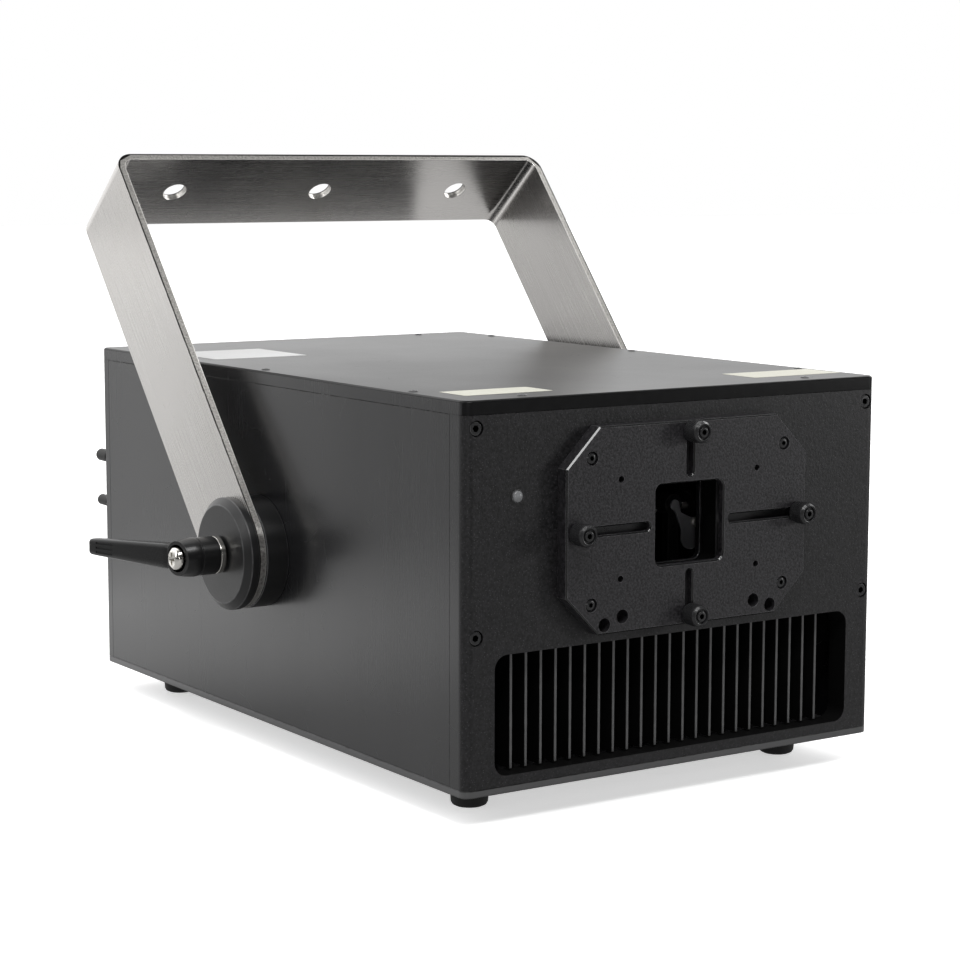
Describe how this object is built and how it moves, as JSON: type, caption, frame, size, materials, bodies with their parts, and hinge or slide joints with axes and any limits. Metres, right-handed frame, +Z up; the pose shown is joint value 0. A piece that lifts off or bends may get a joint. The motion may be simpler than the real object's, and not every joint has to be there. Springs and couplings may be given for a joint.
{
  "type": "laser show projector",
  "caption": "Black boxy laser show projector on a tilting brushed steel yoke, with an eight-sided front plate, sliding beam masks, a finned air opening and clamp levers.",
  "frame": {"origin": "on the floor, under the middle of the whole part", "axes": "+Z up, the beam leaves along -Y, +X to the right seen from the front's viewer"},
  "size_m": [0.483, 0.5224, 0.3848],
  "materials": {
    "black_anodised": "satin black anodised, faintly brushed",
    "charcoal_powder": "fine textured charcoal powder coat",
    "black_metal": "satin black, machined",
    "bare_aluminium": "milled",
    "yoke_steel": "brushed stainless steel",
    "lever_black": "satin black powder coated casting",
    "nickel": "bright nickel",
    "dark_steel": "blackened steel",
    "rubber_black": "matt black rubber",
    "black_plastic": "moulded, matt",
    "green_board": "glass fibre board",
    "clear_glass": "coated window glass",
    "lamp_lens": "clear moulded lens",
    "mirror_glass": "coated mirror"
  },
  "bodies": {
    "housing": {"bottom_plate": "black_anodised", "rear_panel": "black_anodised", "left_side_panel": "black_anodised", "right_side_panel": "black_anodised", "top_cover": "black_anodised", "heat_sink": "black_anodised", "front_panel": "charcoal_powder", "aperture_plate": "charcoal_powder", "left_pivot_boss": "black_metal", "right_pivot_boss": "black_metal", "window_frame": "black_metal", "scanner_block": "black_metal", "power_supply": "black_metal", "optical_deck": "bare_aluminium", "laser_module_red": "bare_aluminium", "laser_module_green": "bare_aluminium", "laser_module_blue": "bare_aluminium", "mirror_posts": "bare_aluminium", "key_switch": "nickel", "galvo_motor_x": "dark_steel", "galvo_motor_y": "dark_steel", "shutter_solenoid": "dark_steel", "rubber_feet": "rubber_black", "lid_gasket": "rubber_black", "rear_port_caps": "rubber_black", "fan_frames": "black_plastic", "power_inlet": "black_plastic", "power_outlet": "black_plastic", "data_sockets": "black_plastic", "control_socket": "black_plastic", "driver_board": "green_board", "control_board": "green_board", "scan_window": "clear_glass", "indicator_lens": "lamp_lens", "combiner_mirrors": "mirror_glass"},
    "yoke": {"yoke_strap": "yoke_steel", "left_clamp_disc": "black_metal", "right_clamp_disc": "black_metal"},
    "left_lever_core": {"left_lever_insert": "nickel", "left_lever_screw": "nickel"},
    "left_lever": {"left_clamp_lever": "lever_black"},
    "right_lever_core": {"right_lever_insert": "nickel", "right_lever_screw": "nickel"},
    "right_lever": {"right_clamp_lever": "lever_black"},
    "shutter": {"shutter_arm": "black_metal"},
    "galvo_x": {"galvo_mirror_x": "mirror_glass"},
    "galvo_y": {"galvo_mirror_y": "mirror_glass"},
    "key_turner": {"key": "nickel"},
    "top_mask": {"mask_blade_top": "dark_steel"},
    "top_thumb": {"thumb_screw_top": "dark_steel"},
    "bottom_mask": {"mask_blade_bottom": "dark_steel"},
    "bottom_thumb": {"thumb_screw_bottom": "dark_steel"},
    "left_mask": {"mask_blade_left": "dark_steel"},
    "left_thumb": {"thumb_screw_left": "dark_steel"},
    "right_mask": {"mask_blade_right": "dark_steel"},
    "right_thumb": {"thumb_screw_right": "dark_steel"},
    "fan_left": {"fan_rotor_left": "black_plastic"},
    "fan_centre": {"fan_rotor_centre": "black_plastic"},
    "fan_right": {"fan_rotor_right": "black_plastic"}
  },
  "joints": [
    {"name": "yoke_tilt", "type": "hinge", "parent": "housing", "child": "yoke", "pos_m": [0, -0.00225, 0.131], "axis": [1, 0, 0], "range_deg": [-50, 130]},
    {"name": "left_lever_turn", "type": "hinge", "parent": "housing", "child": "left_lever_core", "pos_m": [0, -0.00225, 0.131], "axis": [-1, 0, 0], "range_deg": [-45, 180]},
    {"name": "left_lever_lift", "type": "slide", "parent": "left_lever_core", "child": "left_lever", "axis": [-1, 0, 0], "range_m": [0, 0.004], "stiffness_N_per_m": 1500, "springref_m": -0.002},
    {"name": "right_lever_turn", "type": "hinge", "parent": "housing", "child": "right_lever_core", "pos_m": [0, -0.00225, 0.131], "axis": [1, 0, 0], "range_deg": [-45, 180]},
    {"name": "right_lever_lift", "type": "slide", "parent": "right_lever_core", "child": "right_lever", "axis": [1, 0, 0], "range_m": [0, 0.004], "stiffness_N_per_m": 1500, "springref_m": -0.002},
    {"name": "top_mask_slide", "type": "slide", "parent": "housing", "child": "top_mask", "axis": [0, 0, -1], "range_m": [0, 0.0243]},
    {"name": "top_thumb_turn", "type": "hinge", "parent": "top_mask", "child": "top_thumb", "pos_m": [0, -0.23975, 0.2222], "axis": [0, 1, 0], "range_deg": [0, 270]},
    {"name": "bottom_mask_slide", "type": "slide", "parent": "housing", "child": "bottom_mask", "axis": [0, 0, 1], "range_m": [0, 0.0243]},
    {"name": "bottom_thumb_turn", "type": "hinge", "parent": "bottom_mask", "child": "bottom_thumb", "pos_m": [0, -0.23975, 0.1122], "axis": [0, 1, 0], "range_deg": [0, 270]},
    {"name": "left_mask_slide", "type": "slide", "parent": "housing", "child": "left_mask", "axis": [1, 0, 0], "range_m": [0, 0.051]},
    {"name": "left_thumb_turn", "type": "hinge", "parent": "left_mask", "child": "left_thumb", "pos_m": [-0.083, -0.23975, 0.1672], "axis": [0, 1, 0], "range_deg": [0, 270]},
    {"name": "right_mask_slide", "type": "slide", "parent": "housing", "child": "right_mask", "axis": [-1, 0, 0], "range_m": [0, 0.051]},
    {"name": "right_thumb_turn", "type": "hinge", "parent": "right_mask", "child": "right_thumb", "pos_m": [0.083, -0.23975, 0.1672], "axis": [0, 1, 0], "range_deg": [0, 270]},
    {"name": "galvo_y_turn", "type": "hinge", "parent": "housing", "child": "galvo_y", "pos_m": [0, -0.18875, 0.1672], "axis": [1, 0, 0], "range_deg": [-12, 12]},
    {"name": "galvo_x_turn", "type": "hinge", "parent": "housing", "child": "galvo_x", "pos_m": [0, -0.18875, 0.1522], "axis": [0, 1, 0], "range_deg": [-12, 12]},
    {"name": "shutter_swing", "type": "hinge", "parent": "housing", "child": "shutter", "pos_m": [0.019, -0.21055, 0.1717], "axis": [0, 1, 0], "range_deg": [0, 110]},
    {"name": "fan_left_spin", "type": "hinge", "parent": "housing", "child": "fan_left", "pos_m": [-0.091, 0.22375, 0.0635], "axis": [0, 1, 0], "continuous": true},
    {"name": "fan_centre_spin", "type": "hinge", "parent": "housing", "child": "fan_centre", "pos_m": [0, 0.22375, 0.0635], "axis": [0, 1, 0], "continuous": true},
    {"name": "fan_right_spin", "type": "hinge", "parent": "housing", "child": "fan_right", "pos_m": [0.091, 0.22375, 0.0635], "axis": [0, 1, 0], "continuous": true},
    {"name": "key_turn", "type": "hinge", "parent": "housing", "child": "key_turner", "pos_m": [0.096, 0.23525, 0.196], "axis": [0, 1, 0], "range_deg": [0, 90]}
  ]
}
